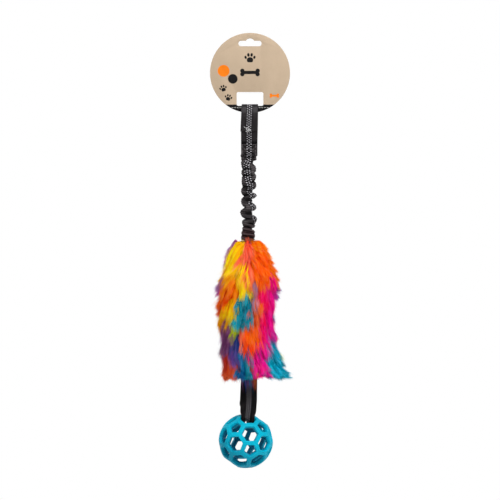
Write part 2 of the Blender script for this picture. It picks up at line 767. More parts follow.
def makeStitches():
    # A sewn box with a cross in it; each stitch is a small pill on the front of the head.
    left, top, right, bottom = (edge * mm for edge in head["box"])
    corners = ((left, top), (right, top), (right, bottom), (left, bottom))
    lines = (*zip(corners, corners[1:] + corners[:1]), corners[::2], corners[:0:-2])
    bpy.ops.mesh.primitive_uv_sphere_add(segments=8, ring_count=7, radius=1)
    pattern = bpy.context.object
    shape = pointsOf(pattern)
    faces = [tuple(p.vertices) for p in pattern.data.polygons]
    bpy.data.objects.remove(pattern)
    y = cover["padMiddle"] - cover["padDepth"] + thread["sunk"] + shape[:, 0] * thread["radius"]
    aside = shape[:, 1] * thread["radius"]
    points, sides = [], []
    for (x0, z0), (x1, z1) in lines:
        far, turn = np.hypot(x1 - x0, z1 - z0), atan2(z1 - z0, x1 - x0)
        count = max(1, round(far / (thread["length"] + thread["gap"])))
        end = squarer(shape[:, 2], 0.6)
        along = end * (far / count - thread["gap"]) / 2
        arch = thread["arch"] * (1 - end ** 2)
        for i in range(count):
            share, start = (i + 0.5) / count, len(points) * len(shape)
            x = x0 + (x1 - x0) * share + along * cos(turn) - aside * sin(turn)
            z = z0 + (z1 - z0) * share + along * sin(turn) + aside * cos(turn)
            points.append(np.stack([x, y - arch, z], 1))
            sides += [tuple(start + k for k in face) for face in faces]
    piece = meshPiece("headStitches", np.concatenate(points), sides)
    finish = Finish("black thread", Roughness=0.6, Specular_IOR_Level=0.2)
    twist = finish.noise(finish.stretched(finish.places(), (1, 1, 3)), 1.4, 3)
    finish.bump(twist, 0.05 * mm)
    wear(piece, finish.into(Base_Color=finish.mix(twist, colour(16, 14, 16), colour(52, 50, 53))))
    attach(piece, "handle")


def strandMesh(name, paths, widths, colours, outward):
    # paths is strands x rings x 3, with the tips last. Each strand is a thin three-sided spike.
    count, rings = paths.shape[:2]
    ahead = np.gradient(paths, axis=1)
    ahead /= np.maximum(np.linalg.norm(ahead, axis=2, keepdims=True), 1e-12)
    side = np.cross(ahead, outward[:, None, :])
    side /= np.maximum(np.linalg.norm(side, axis=2, keepdims=True), 1e-12)
    up = np.cross(side, ahead)
    shafts = np.stack([
        paths + widths[:, :, None] * (cos(turn) * side + sin(turn) * up)
        for turn in (-pi / 2, pi / 6, 5 * pi / 6)  # one flat side faces out
    ], 2)[:, :-1].reshape(count, -1, 3)
    points = np.concatenate([shafts, paths[:, -1:]], 1).reshape(-1, 3)
    shades = np.concatenate([np.repeat(colours[:, :-1], 3, axis=1), colours[:, -1:]], 1)
    per, last = (rings - 1) * 3 + 1, (rings - 2) * 3
    quads, tris = [], [(0, 1, 2)]
    for ring in range(rings - 2):
        for k in range(3):
            a, b = ring * 3 + k, ring * 3 + (k + 1) % 3
            quads.append((a, a + 3, b + 3, b))
    for k in range(3):
        tris.append((last + k, per - 1, last + (k + 1) % 3))
    starts = np.arange(count)[:, None, None] * per
    allQuads = (np.array(quads)[None] + starts).reshape(-1, 4)
    allTris = (np.array(tris)[None] + starts).reshape(-1, 3)
    made = meshPiece(name, points, allQuads.tolist() + allTris.tolist())
    bpy.ops.object.shade_flat()
    keepColours(made, "dye", shades.reshape(-1, 3))
    return made


# The outline seen from the front: height in mm, left edge, right edge.
pileOutline = np.array([
    (-246.0, -11.0, 6.0), (-250.0, -14.0, 7.5), (-254.4, -17.5, 9.0), (-259.4, -21.5, 15.0),
    (-266.9, -25.5, 20.5), (-274.4, -27.5, 24.0), (-281.9, -29.5, 27.0), (-289.4, -31.5, 30.0),
    (-296.9, -36.0, 34.0), (-304.4, -38.0, 34.0), (-311.9, -40.0, 33.5), (-319.4, -40.0, 34.0),
    (-326.9, -41.0, 32.5), (-334.4, -42.0, 32.0), (-341.9, -39.5, 30.5), (-349.4, -38.5, 29.0),
    (-356.9, -38.5, 29.5), (-364.4, -37.0, 30.0), (-371.9, -36.0, 32.0), (-379.4, -35.0, 32.0),
    (-386.9, -35.0, 34.0), (-394.4, -35.5, 37.5), (-401.9, -35.5, 39.5), (-409.4, -33.0, 42.0),
    (-416.9, -32.5, 43.5), (-424.4, -33.5, 45.5), (-431.0, -33.5, 46.0),
])

dyes = {
    "yellow": colour(255, 207, 0), "lime": colour(196, 206, 20), "gold": colour(255, 178, 0),
    "orange": colour(255, 146, 4), "amber": colour(255, 176, 10),
    "deepOrange": colour(255, 112, 6), "redOrange": colour(250, 88, 12),
    "coral": colour(255, 118, 84), "crimson": colour(250, 0, 112), "magenta": colour(250, 0, 166),
    "orchid": colour(206, 90, 190), "lilac": colour(184, 138, 192), "mist": colour(160, 132, 160),
    "berry": colour(190, 0, 134), "violet": colour(132, 90, 170), "plum": colour(150, 92, 142),
    "navy": colour(50, 70, 142),
    "teal": colour(0, 152, 172), "turquoise": colour(0, 184, 206), "blue": colour(0, 118, 168),
    "rust": colour(226, 112, 60), "brick": colour(206, 80, 60),
}

# Dye patches: middle x and z in mm, reach to the side and up, dye.
frontPatches = (
    (-19.4, -271, 9.5, 20, "yellow"), (-12, -303, 7.5, 18, "yellow"), (-24, -292, 6, 8, "gold"),
    (1, -249, 6, 5, "orange"), (-3, -259, 6, 8, "coral"), (-5.0, -274, 7, 12, "coral"),
    (-2.6, -296, 3.2, 13, "coral"),
    (0.5, -306, 3, 10, "rust"),
    (19, -268, 15, 18, "orange"), (15, -290, 13, 17, "deepOrange"), (30, -296, 6, 12, "orange"),
    (27, -264, 5, 12, "amber"), (34, -284, 4, 12, "amber"),
    (-26, -314, 10.5, 14, "orange"), (-37, -325, 4, 9, "deepOrange"), (-30, -326, 9, 7, "deepOrange"),
    (-31.5, -268, 3.5, 12, "lilac"), (-38, -306, 3, 12, "lilac"), (-40, -330, 3, 8, "rust"),
    (-26.3, -341, 9, 14, "yellow"), (-20.5, -361, 6.5, 15, "lime"), (-33, -351, 4.5, 9, "gold"),
    (-8.4, -343, 10.4, 17, "teal"), (-13, -361, 5, 8, "turquoise"),
    (5.6, -318, 4.6, 12, "mist"), (8.4, -344, 4.4, 13, "rust"), (11, -330, 4.5, 10, "deepOrange"),
    (16.5, -341, 6.5, 26, "crimson"), (25, -352, 6.5, 20, "magenta"), (27, -322, 7, 12, "magenta"),
    (30.5, -306, 4.5, 9, "magenta"), (35, -330, 3.5, 12, "violet"), (32, -362, 4, 14, "orchid"),
    (0, -371, 12, 15, "deepOrange"), (4, -384, 8, 7, "redOrange"), (-8, -374, 4.5, 10, "coral"),
    (-29, -377, 6.6, 20, "plum"), (-22, -398, 6.5, 12, "violet"), (-17, -392, 5, 15, "navy"),
    (-8.5, -404, 7.5, 20, "blue"), (-2, -410, 6, 18, "teal"), (-25, -415, 9, 13, "rust"),
    (-32, -404, 4, 8, "brick"), (4.4, -414, 2.4, 12, "brick"), (14.5, -410, 10.5, 20, "magenta"),
    (12, -394, 6.5, 9, "berry"), (32, -404, 11, 18, "turquoise"), (24, -420, 5, 8, "blue"),
    (38, -392, 3.6, 8, "lime"), (42, -418, 5, 12, "teal"),
)
backPatches = (
    (-22, -268, 12, 18, "turquoise"), (0, -262, 9, 14, "lilac"), (20, -272, 12, 16, "orange"),
    (-30, -296, 9, 15, "lilac"), (-10, -296, 11, 16, "magenta"), (12, -300, 10, 18, "yellow"),
    (30, -306, 8, 14, "orchid"), (-34, -326, 8, 14, "rust"), (-16, -330, 11, 15, "orange"),
    (6, -334, 10, 16, "teal"), (26, -336, 9, 16, "magenta"), (-32, -356, 8, 14, "gold"),
    (-12, -362, 11, 16, "crimson"), (10, -366, 10, 16, "violet"), (28, -364, 8, 15, "orchid"),
    (-30, -384, 8, 15, "plum"), (-12, -394, 9, 15, "yellow"), (8, -396, 10, 15, "deepOrange"),
    (30, -394, 9, 13, "lime"), (-26, -414, 9, 14, "rust"), (-6, -418, 9, 13, "blue"),
    (14, -418, 9, 13, "magenta"), (36, -416, 9, 14, "turquoise"),
)


def dyeAt(x, z, inFront):
    # The two nearest patches give the dye, and mix where they meet; x and z are in millimetres.
    x = x + 1.5 * ripple(51, 0.30 * x, 0.16 * z)
    z = z + 3.0 * ripple(52, 0.35 * x, 0.10 * z)
    made = np.zeros((len(x), 3))
    for patches, where in ((frontPatches, inFront), (backPatches, ~inFront)):
        far = np.stack([
            ((x - px) / rx) ** 2 + ((z - pz) / rz) ** 2 for px, pz, rx, rz, _ in patches
        ])
        shades = np.array([dyes[name][:3] for *_, name in patches])
        first, second = np.argsort(far, axis=0)[:2]
        gap = np.take_along_axis(far, second[None], 0) - np.take_along_axis(far, first[None], 0)
        share = 0.5 * (1 - smooth(gap[0] / 0.20))[:, None]
        mixed = shades[first] * (1 - share) + shades[second] * share
        made[where] = mixed[where]
    return made


def shaded(dye, t, rich):
    # Deeper and richer towards the root, where t is 0.
    rise = smooth(t / 0.85)[..., None]
    return dye ** (1 + 0.5 * (1 - rise) + 0.5 * rich) * (0.84 + 0.16 * rise)


def pileEdge(z):
    left, right = (
        np.interp(-z / mm, -pileOutline[:, 0], pileOutline[:, side]) * mm for side in (1, 2)
    )
    return (left + right) / 2, (right - left) / 2


def pileSurface(turn, z, share):
    # A point at a share of the way from the pile's axis to its outer shape.
    middle, half = pileEdge(z)
    deep = np.minimum(half * 0.96, 36.5 * mm)
    inner = body["strapSide"] * (1 - share) + middle * share
    return np.stack([inner + half * share * np.cos(turn), deep * share * np.sin(turn), z], -1)


pile = {
    "strands": 60000,
    "locks": 2000,
    "twigs": 8,
    "rings": 5,
    "drop": (20 * mm, 31 * mm),
    "width": 0.28 * mm,
    "spread": 2.5 * mm,
    "parts": 7,
    "neckRadius": 13.1 * mm,
    "hemRadius": 18.2 * mm,
    "lowestRoot": 11 * mm,
    "highestRoot": 2.2 * mm,
}
tufts = (  # side (angle round the pile), z in mm, how far it stands out, drop in mm, dye
    (182, -257, 0.22, 8, "lilac"), (176, -258, 0.16, 8, "orchid"), (181, -264, 0.22, 10, "lilac"),
    (177, -268, 0.18, 12, "orchid"), (182, -272, 0.16, 12, "lilac"), (178, -290, 0.10, 16, "yellow"),
    (181, -300, 0.14, 14, "lilac"), (179, -306, 0.12, 14, "orchid"), (182, -320, 0.09, 18, "orange"),
    (180, -336, 0.12, 12, "rust"), (177, -346, 0.08, 16, "gold"), (178, -374, 0.08, 20, "plum"),
    (180, -404, 0.09, 16, "rust"), (182, -412, 0.10, 10, "rust"),
    (352, -259, 0.16, 2, "orange"), (356, -262, 0.14, 4, "orange"), (350, -270, 0.12, 6, "orange"),
    (2, -276, 0.14, 7, "orange"), (355, -284, 0.12, 9, "orange"), (5, -292, 0.10, 12, "orange"),
    (3, -308, 0.17, 8, "violet"), (352, -312, 0.11, 14, "orchid"), (2, -317, 0.12, 9, "blue"),
    (358, -338, 0.08, 16, "blue"), (354, -360, 0.09, 18, "magenta"), (5, -386, 0.08, 16, "lime"),
    (0, -396, 0.09, 14, "teal"), (356, -402, 0.09, 20, "turquoise"), (0, -410, 0.16, 12, "turquoise"),
    (6, -412, 0.12, 10, "teal"),
)


def backingRadius(z):  # the knitted tube that the pile grows on widens below the neck
    drop = np.clip((body["pileTop"] - z - 4 * mm) / (22 * mm), 0, 1)
    return pile["neckRadius"] + (pile["hemRadius"] - pile["neckRadius"]) * drop


def nearTop(z, reach):  # 1 at the top of the pile, falling to 0 over the reach
    return smooth(1 - (body["pileTop"] - z) / reach)


def facing(turn, middle, reach, fade):  # 1 on the side of the pile that looks to an angle
    return smooth((reach - np.abs((turn - middle + pi) % tau - pi)) / fade)


def makeLocks(rng):
    count = pile["locks"]
    deep = body["pileTop"] - body["hem"] - 8 * mm
    locks = {
        "z": body["pileTop"] - 2.4 * mm - rng.uniform(0, 1, count) * deep,
        "turn": rng.uniform(0, tau, count),
        "drop": rng.uniform(*pile["drop"], count),
        "stand": rng.normal(0, 0.040, count),
        "lean": rng.normal(0, 0.12, count),
        "tone": rng.normal(0, 0.15, count),
        "rich": np.clip(rng.normal(0.22, 0.30, count), 0, 1),
        "gather": rng.uniform(0.45, 0.95, count),
        "hem": rng.normal(0, 1.9, count),
        "flare": rng.normal(0.01, 0.03, count),
    }
    spiky = rng.uniform(0, 1, count) > 0.86
    locks["flare"] += spiky * rng.uniform(0.05, 0.16, count)
    locks["gather"][spiky] = 0.98
    # Where a lock shows is some way below its root, and that place gives its dye.
    show = locks["z"] - 0.62 * locks["drop"]
    middle, half = pileEdge(show)
    x = middle + half * 0.95 * np.cos(locks["turn"])
    x, z = x / mm + rng.normal(0, 0.8, count), show / mm + rng.normal(0, 1.7, count)
    locks["dye"] = dyeAt(x, z, np.sin(locks["turn"]) < 0.3)
    for i, (turn, z, stand, drop, name) in enumerate(tufts):
        few = slice(4 * i, 4 * i + 4)
        locks["turn"][few] = radians(turn) + rng.normal(0, 0.05, 4)
        locks["z"][few] = (z + rng.normal(0, 1.2, 4)) * mm
        locks["stand"][few], locks["flare"][few], locks["drop"][few] = 0.01, stand + 0.03, drop * mm
        locks["lean"][few], locks["gather"][few] = 0, 0.98
        locks["dye"][few] = dyes[name][:3]
    return locks


def makePile():
    rng = np.random.default_rng(2024)
    locks = makeLocks(rng)
    count = pile["strands"]
    # A lock is made of a few thin wisps, each with a tone of its own.
    twigs = pile["locks"] * pile["twigs"]
    twig = rng.integers(0, twigs, count)
    lock = {key: value[twig // pile["twigs"]] for key, value in locks.items()}
    aside, along = rng.normal(0, pile["spread"], (2, twigs))[:, twig] + rng.normal(
        0, 0.55 * mm, (2, count))
    twigTone = rng.normal(0, 0.18, twigs)[twig]
    offTurn = aside / (30 * mm)
    rootTurn = lock["turn"] + offTurn
    low, high = body["hem"] + pile["lowestRoot"], body["pileTop"] - pile["highestRoot"]
    rootZ = np.clip(lock["z"] + along, low, high)
    drop = lock["drop"] * rng.uniform(0.85, 1.08, count)
    c, s = np.cos(lock["turn"]), np.sin(lock["turn"])
    shortest = rootZ - body["hem"] + rng.normal(-7.6 * mm, 1.0 * mm, count)
    shortest = shortest + lock["hem"] * mm + 2.2 * mm * ripple(31, 7 * c, 7 * s)
    # In front on the right the top stands brushed up and outward, and on the left it is brushed
    # down to the left.
    domed = nearTop(rootZ, 13 * mm)
    brushed = facing(lock["turn"], -0.55, 1.5, 0.8) * nearTop(rootZ + 6 * mm, 34 * mm)
    raised = brushed * nearTop(rootZ, 22 * mm)
    swept = facing(lock["turn"], -2.1, 1.3, 0.9) * nearTop(rootZ, 48 * mm)
    drop = np.maximum(np.minimum(drop * (1 - 0.55 * brushed), shortest), 3 * mm)
    t = np.linspace(0, 1, pile["rings"])[None, :]
    gather = lock["gather"][:, None] * t ** 1.3
    turn = rootTurn[:, None] - offTurn[:, None] * gather + lock["lean"][:, None] * t ** 1.7
    sway = ripple(33, 3 * c, 3 * s, lock["z"] / mm * 0.05)
    turn = turn + 0.15 * sway[:, None] * t + rng.normal(0, 0.03, (count, 1)) * t ** 2
    turn = turn + 0.32 * brushed[:, None] * t - 0.40 * swept[:, None] * t
    lift = domed * rng.uniform(1.5, 6.5, count) * mm * (1 - 0.8 * brushed)
    z = rootZ[:, None] + lift[:, None] * np.sin(pi * np.minimum(t * 1.25, 1))
    z = z - drop[:, None] * t ** 1.25
    highest = body["pileTop"] - rootZ + drop + rng.normal(-2.5 * mm, 1.5 * mm, count)
    upward = np.minimum(raised * rng.uniform(0.7, 1.5, count) * drop, highest)
    z = z + upward[:, None] * t
    z = z - ((rootZ - np.clip(lock["z"], low, high)) * 0.5)[:, None] * gather
    # Strands in the middle of a lock lie above those at its edge, so that locks stand apart.
    rim = np.minimum((aside / pile["spread"]) ** 2, 3)
    stand = 0.965 + lock["stand"] - 0.024 * rim + rng.normal(0, 0.010, count)
    fluff = rng.uniform(0, 1, count) > 0.92
    stand = stand + fluff * rng.uniform(0.02, 0.10, count)
    stand = stand + 0.05 * brushed * rng.uniform(-0.5, 1.4, count)
    # Strands near the neck turn outward at once, so that the pile starts in a round dome.
    domed = domed[:, None]
    rise = (0.75 + 0.2 * domed) * (1 - (1 - t) ** (1.9 + 3.6 * domed)) + (0.25 - 0.2 * domed) * t
    inner = tube(body["strapSide"], backingRadius(rootZ)[:, None], turn, z)
    flare = lock["flare"][:, None] * t ** 2.5
    outer = pileSurface(turn, np.minimum(z, rootZ[:, None] - 3 * mm), stand[:, None] + flare)
    outer[:, :, 2] = z
    paths = inner + (outer - inner) * rise[:, :, None]
    fine = rng.uniform(0.75, 1.2, (count, 1))
    widths = pile["width"] * fine * (1 - 0.85 * t ** 1.8)
    tone = 1.29 + lock["tone"] + twigTone + rng.normal(0, 0.08, count) - 0.11 * rim
    stray = rng.uniform(0, 1, count) > 0.95
    own = dyeAt(paths[:, 3, 0] / mm, paths[:, 3, 2] / mm, np.sin(rootTurn) < 0.3)
    base = np.clip(np.where(stray[:, None], own, lock["dye"]), 0.004, 1)
    colours = shaded(base[:, None, :], t * np.ones((count, 1)), lock["rich"][:, None, None])
    colours = colours * tone[:, None, None]
    pale = (rng.uniform(0, 1, count) > 0.86)[:, None] * 0.13 * smooth((t - 0.35) / 0.65)
    colours = np.clip(colours + (1 - colours) * pale[:, :, None], 0, 1)
    out = np.stack([np.cos(rootTurn), np.sin(rootTurn), 0.15 + 0 * rootTurn], 1)
    order = np.argsort(-rootZ, kind="stable")
    for part in range(pile["parts"]):
        chosen = order[part * count // pile["parts"]:(part + 1) * count // pile["parts"]]
        piece = strandMesh(
            "pileStrands%d" % (part + 1),
            paths[chosen], widths[chosen], colours[chosen], out[chosen],
        )
        wear(piece, pileFinish)
        if part == 0:
            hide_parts("fur_pile")
        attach(piece, "tug_body")
    print("pile:", count, "strands")


wisps = {"hem": 120, "neck": 170, "locks": 30, "width": 0.19 * mm}


def looseHairs(name, start, end, bulge, dye, rng):
    # Fine hairs from start to end; bulge moves their middles.
    t = np.linspace(0, 1, pile["rings"])[None, :, None]
    paths = start[:, None] + (end - start)[:, None] * t + bulge[:, None] * np.sin(pi * t)
    widths = wisps["width"] * (1 - 0.8 * t[:, :, 0] ** 1.5) * rng.uniform(0.8, 1.2, (len(start), 1))
    colours = np.clip(dye[:, None, :] * (0.6 + 0.4 * t), 0, 1)
    out = np.tile([0.0, -1.0, 0.1], (len(start), 1))
    piece = strandMesh(name, paths, widths, colours, out)
    wear(piece, pileFinish)
    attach(piece, "tug_body")


def makeWisps():
    # Loose hairs that hang from the hem in front of the strap, and some that stand up at the neck.
    rng = np.random.default_rng(77)
    count, locks = wisps["hem"], wisps["locks"]
    mine = rng.integers(0, locks, count)
    lockX = rng.uniform(-11.0, 7.5, locks)
    order = ("plum", "navy", "violet", "blue", "brick", "rust")  # from left to right
    names = [order[int((x + 12) / 3.6)] for x in lockX]
    dye = np.array([dyes[name][:3] for name in names])[mine] * rng.uniform(0.5, 1.0, (count, 1))
    long = rng.uniform(4, 17, locks)[mine] * rng.uniform(0.2, 1.1, count)
    side = rng.normal(0, 1.5, count)
    hem, root = body["hem"] / mm, rng.uniform(4, 12, count)
    start = np.stack([lockX[mine] + side, -rng.uniform(15, 24, count), hem + root], 1)
    end = np.stack([lockX[mine] + 0.4 * side + rng.normal(0, 0.8, count),
                    -rng.uniform(4, 9, count), hem - long], 1)
    bulge = np.stack([0 * side, -rng.uniform(0, 2, count), 0 * side], 1)
    looseHairs("hemWisps", start * mm, end * mm, bulge * mm, dye, rng)
    count = wisps["neck"]
    inFront = rng.uniform(0, 1, count) < 0.6
    turn = np.where(inFront, rng.normal(-pi / 2, 0.7, count), rng.uniform(0, tau, count))
    out = rng.uniform(8, 12.5, count)
    lean = rng.normal(-1.0, 1.2, (2, count))
    top, middle = body["pileTop"] / mm, body["strapSide"] / mm
    start = tube(middle, out, turn, top - rng.uniform(2, 5, count))
    tips = top + rng.uniform(-2, 2.5, count) + 4.0 * np.exp(-(out * np.cos(turn) / 3.5) ** 2)
    end = tube(middle, out + lean[0], turn, tips)
    end[:, 0] += lean[1]
    bulge = np.stack([np.cos(turn), np.sin(turn), 0 * turn], 1)
    dye = dyeAt(start[:, 0] * 1.3, start[:, 2] - 6, start[:, 1] < 0)
    dye = dye * rng.uniform(0.45, 0.9, (count, 1))
    looseHairs("neckWisps", start * mm, end * mm, bulge * mm, dye, rng)


undercoat = {
    "share": 0.84,  # of the way from the pile's axis to its outer shape
    "below": 3.8 * mm,
    "aboveHem": 13 * mm,
    # shares of the rows: the outside ends, the inside starts, the inside turns out to the top
    "down": 0.62,
    "up": 0.66,
    "shut": 0.995,
}


def makeUndercoat():
    # The dense lower pile under the strands, down the outside, round the hem and up the inside.
    piece, u, v = startGrid("pileUndercoat", 150, 220)
    turn = tau * u
    down, up, shut = (undercoat[name] for name in ("down", "up", "shut"))
    top, hem = body["pileTop"] - undercoat["below"], body["hem"] + undercoat["aboveHem"]
    outer = top + (hem - top) * np.clip(v / down, 0, 1)
    inner = hem + (top - hem) * np.clip((v - up) / (1 - up), 0, 1)
    z = np.where(v < (down + up) / 2, outer, inner)
    c, s = np.cos(turn), np.sin(turn)
    lump = 1 + 0.03 * ripple(41, 5 * c, 5 * s, z / mm * 0.25)
    lump = lump + 0.02 * ripple(42, 11 * c, 11 * s, z / mm * 0.5)
    outside = pileSurface(turn, z, undercoat["share"] * lump)
    inside = tube(body["strapSide"], backingRadius(z), turn, z)
    share = np.clip((v - down) / (up - down), 0, 1)
    share = np.where(v > shut, 1 - (v - shut) / (1 - shut), share)[:, None]
    points = outside * (1 - share) + inside * share
    rng = np.random.default_rng(5)
    x = points[:, 0] / mm / undercoat["share"] + rng.normal(0, 0.8, len(v))
    base = dyeAt(x, points[:, 2] / mm - 6, s < 0)
    keepColours(piece, "dye", np.clip(base, 0.004, 1) ** 1.4 * 0.7)
    shapeUp(piece, points, fill=False)
    wear(piece, pileFinish)
    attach(piece, "tug_body")


backing = {"below": 3 * mm, "shorter": 14 * mm, "inside": 0.4 * mm, "thick": 1.0 * mm}


def makeBacking():
    piece, u, v = startGrid("knittedBacking", 64, 80)
    length = body["pileTop"] - body["hem"] - backing["shorter"]
    z = body["pileTop"] - backing["below"] - v * length
    radius = backingRadius(z) - backing["inside"]
    shapeUp(piece, tube(body["strapSide"], radius, tau * u, z), fill=False)
    modify(piece, "SOLIDIFY", thickness=backing["thick"], offset=-1)
    applyAll(piece)
    finish = Finish("backing knit", Roughness=0.9, Sheen_Weight=0.2)
    x, y, z = finish.axes(finish.places())
    loops = finish.math("SINE", z * 3.6) * 0.5 + finish.math("SINE", x * 3.0 + y * 3.0) * 0.5
    finish.bump(loops, 0.25 * mm)
    wear(piece, finish.into(Base_Color=finish.mix(
        loops * 0.5 + 0.5, colour(58, 46, 62), colour(104, 86, 108))))
    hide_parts("fur_backing")
    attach(piece, "tug_body")


# Loose threads: from x, z to x, z in mm, hairs, how far they stand out.
tuftBundles = (
    (-7.4, -110.8, -4.9, -112.4, 8, 0.4), (-4.9, -113.6, -0.2, -109.9, 22, 0.7),
    (-1.2, -112.7, 1.4, -115.5, 30, 0.9), (-2.5, -113.5, 0.2, -116.1, 22, 0.6),
    (-3.8, -114.4, -1.3, -116.7, 30, 0.9), (-5.1, -116.1, -2.6, -118.1, 30, 0.8),
)


tuft = {"width": 0.13 * mm, "front": -6.35 * mm, "frontHeight": -116.1 * mm, "above": 0.25 * mm}


def makeTuft():
    rng = np.random.default_rng(9)
    rows = []
    for x0, z0, x1, z1, hairs, out in tuftBundles:
        for _ in range(hairs):
            start = [x0 + rng.normal(0, 0.10), z0 + rng.normal(0, 0.10)]
            end = [x1 + rng.normal(0, 0.13), z1 + rng.normal(0, 0.13)]
            rows.append(start + end + [rng.uniform(0.3, 1) * out])
    x0, z0, x1, z1, out = np.array(rows).T[:, :, None] * mm
    count = len(rows)
    t = np.linspace(0, 1, pile["rings"])[None, :]
    x, z = x0 + (x1 - x0) * t, z0 + (z1 - z0) * t
    front = tuft["front"] - (z - tuft["frontHeight"]) * 0.2
    y = front - tuft["above"] - out * np.sin(pi * t * 0.85)
    paths = np.stack([x, y, z], 2)
    widths = tuft["width"] * (1 - 0.6 * t ** 2) * np.ones((count, 1))
    grey = rng.uniform(0.55, 0.95, (count, 1, 1)) * np.ones((1, pile["rings"], 3))
    piece = strandMesh("tracerTuft", paths, widths, grey, np.tile([0.0, -1.0, 0.0], (count, 1)))
    finish = Finish("loose tracer thread", Roughness=0.6, Sheen_Weight=0.3)
    hair = finish.attribute("dye", "Color")
    speck = finish.noise(finish.places(), 2.0, 3)
    wear(piece, finish.into(Base_Color=finish.mix(speck * 0.4, hair, colour(250, 250, 252))))
    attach(piece, "handle")


ball = {
    "radius": 34 * mm,
    "strutWidth": 5.9 * mm,
    "strutDepth": 6.2 * mm,
    "tilt": radians(10),
    "turn": radians(10.5),
    "holeCuts": 2,
    "edge": 1.15 * mm,
    "darkInside": (32.0, 28.4),  # mm from the ball's middle
    "darkBelow": (-498, -540),  # the height in mm, at the ball's left and right a bit apart
}


def ontoSphere(piece, radius):
    points = pointsOf(piece)
    movePoints(piece, points / np.linalg.norm(points, axis=1)[:, None] * radius)


def makeBall():
    # The faces of a football's pattern are cut out, and the struts get a wall and soft edges.
    bpy.ops.mesh.primitive_ico_sphere_add(subdivisions=1, radius=ball["radius"])
    piece = named("latticeBall")
    startEdit(piece)
    bpy.ops.mesh.bevel(offset_type="PERCENT", offset_pct=100 / 3, segments=1, affect="VERTICES")
    bpy.ops.object.mode_set(mode="OBJECT")
    ontoSphere(piece, ball["radius"])
    startEdit(piece)
    bpy.ops.mesh.inset(thickness=ball["strutWidth"] / 2, use_individual=True, use_even_offset=True)
    bpy.ops.mesh.delete(type="FACE")
    bpy.ops.mesh.select_all(action="SELECT")
    bpy.ops.mesh.subdivide(number_cuts=ball["holeCuts"])
    bpy.ops.mesh.normals_make_consistent(inside=False)
    bpy.ops.object.mode_set(mode="OBJECT")
    ontoSphere(piece, ball["radius"])
    modify(piece, "SOLIDIFY", thickness=ball["strutDepth"], offset=-1)
    bevelEdges(piece, ball["edge"], 30)
    modify(piece, "SUBSURF", levels=1, render_levels=1)
    applyAll(piece)
    points = pointsOf(piece)
    far = np.linalg.norm(points, axis=1)
    movePoints(piece, points * (ball["radius"] / far.max()))
    piece.matrix_world = (
        Matrix.Translation(body["ballCentre"])
        @ Matrix.Rotation(ball["turn"], 4, "Z")
        @ Euler((pi, -ball["tilt"], -pi / 2)).to_matrix().to_4x4()
    )
    settle(piece)
    bpy.ops.object.shade_smooth()
    finish = Finish("turquoise rubber", IOR=1.48, Specular_IOR_Level=0.12)
    where = finish.places()
    cloudy = finish.noise(where, 0.05, 2)
    grain = finish.noise(where, 1.4, 4, 0.6)
    speck = finish.noise(where, 5.0, 2)
    shade = finish.mix(cloudy, colour(0, 180, 212), colour(0, 198, 228))
    shade = finish.mix(finish.step(grain, 0.45, 0.8) * 0.2, shade, colour(0, 158, 192))
    x, y, z = finish.axes(where)
    inward = finish.far(*[
        place - middle / mm for place, middle in zip((x, y, z), body["ballCentre"])
    ])
    inside = finish.step(inward, *ball["darkInside"])
    below = finish.step(z + x * 0.5, *ball["darkBelow"])
    shade = finish.mix(inside * 0.85, shade, colour(0, 84, 124))
    shade = finish.mix(below * 0.55, shade, colour(0, 92, 126))
    finish.bump(grain * 0.5 + speck * 0.5, 0.06 * mm, 0.4)
    wear(piece, finish.into(Base_Color=shade, Roughness=0.40 + grain * 0.14))
    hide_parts("ball")
    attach(piece, "ball")
    print("ball:", len(piece.data.polygons), "faces")


card = {
    "radius": 50 * mm,
    "thick": 0.8 * mm,
    "middle": -43 * mm,
    "slot": (29 * mm, 6.8 * mm, 2.9 * mm),  # width, height, how far the arch stands above
    "arch": (11 * mm, 8.8 * mm),
    "window": (33.4 * mm, 17.25 * mm, 2.2 * mm, -84.25 * mm),  # width, height, corner, lower edge
    "edge": 0.14 * mm,
    "cut": 6 * mm,
}


def cutterBox(wide, high, middle, corner):
    bpy.ops.mesh.primitive_cube_add(
        size=1, location=(0, 0, middle), scale=(wide, card["cut"], high)
    )
    box = bpy.context.object
    settle(box)
    bpy.ops.object.mode_set(mode="EDIT")
    bpy.ops.mesh.select_mode(type="EDGE")
    bpy.ops.mesh.select_all(action="DESELECT")
    bpy.ops.object.mode_set(mode="OBJECT")
    for edge in box.data.edges:
        a, b = (box.data.vertices[i].co for i in edge.vertices)
        edge.select = abs(a.y - b.y) > 1 * mm  # the four edges that run through the card
    bpy.ops.object.mode_set(mode="EDIT")
    bpy.ops.mesh.bevel(offset=corner, segments=10, affect="EDGES")
    bpy.ops.mesh.select_mode(type="VERT")
    bpy.ops.object.mode_set(mode="OBJECT")
    return box


def cutterOval(wide, high):
    bpy.ops.mesh.primitive_cylinder_add(
        vertices=96, radius=0.5, depth=card["cut"], location=(0, 0, -high / 2),
        rotation=(pi / 2, 0, 0), scale=(wide, high, 1),
    )
    settle(bpy.context.object)
    return bpy.context.object


def combine(piece, operation, other):
    modify(piece, "BOOLEAN", operation=operation, solver="EXACT", object=other)
    applyAll(piece)
    bpy.data.objects.remove(other)


